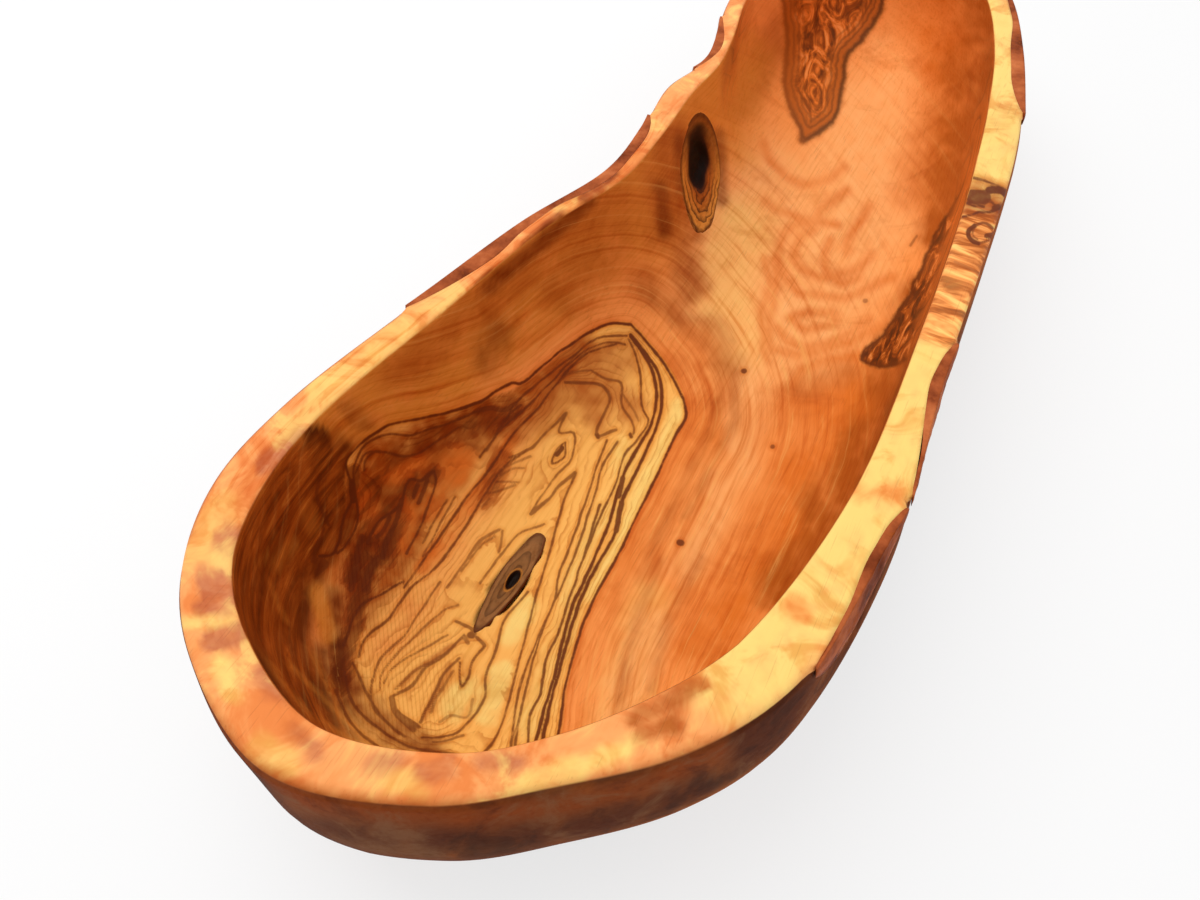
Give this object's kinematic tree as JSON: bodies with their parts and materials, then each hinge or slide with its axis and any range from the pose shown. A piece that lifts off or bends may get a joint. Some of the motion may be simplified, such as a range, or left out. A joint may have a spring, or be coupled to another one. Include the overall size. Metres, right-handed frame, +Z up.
{
  "type": "bread bowl",
  "caption": "Long, gently bent live-edge wooden bread bowl with a flat rim, steep hollowed walls, a flat foot, strips of bark left on the edge and dead knots in the hollow.",
  "frame": {"origin": "middle of the overall outline, on the plane the foot stands on", "axes": "+X along the bowl towards its narrow end, +Y towards its hollow (waisted) side, +Z up out of the mouth"},
  "size_m": [0.447, 0.1538, 0.066],
  "materials": {
    "olive_wood": "sanded and oiled, satin sheen",
    "bark": "brushed and oiled bark, rough",
    "knot_wood": "dark dead knot, oiled"
  },
  "bodies": {
    "root": {"bowl_body": "olive_wood", "bark_right_front": "bark", "bark_right_middle": "bark", "bark_right_rear": "bark", "bark_left_middle": "bark", "bark_left_rear": "bark", "knot_wall": "knot_wood", "knot_floor": "knot_wood"}
  },
  "joints": []
}
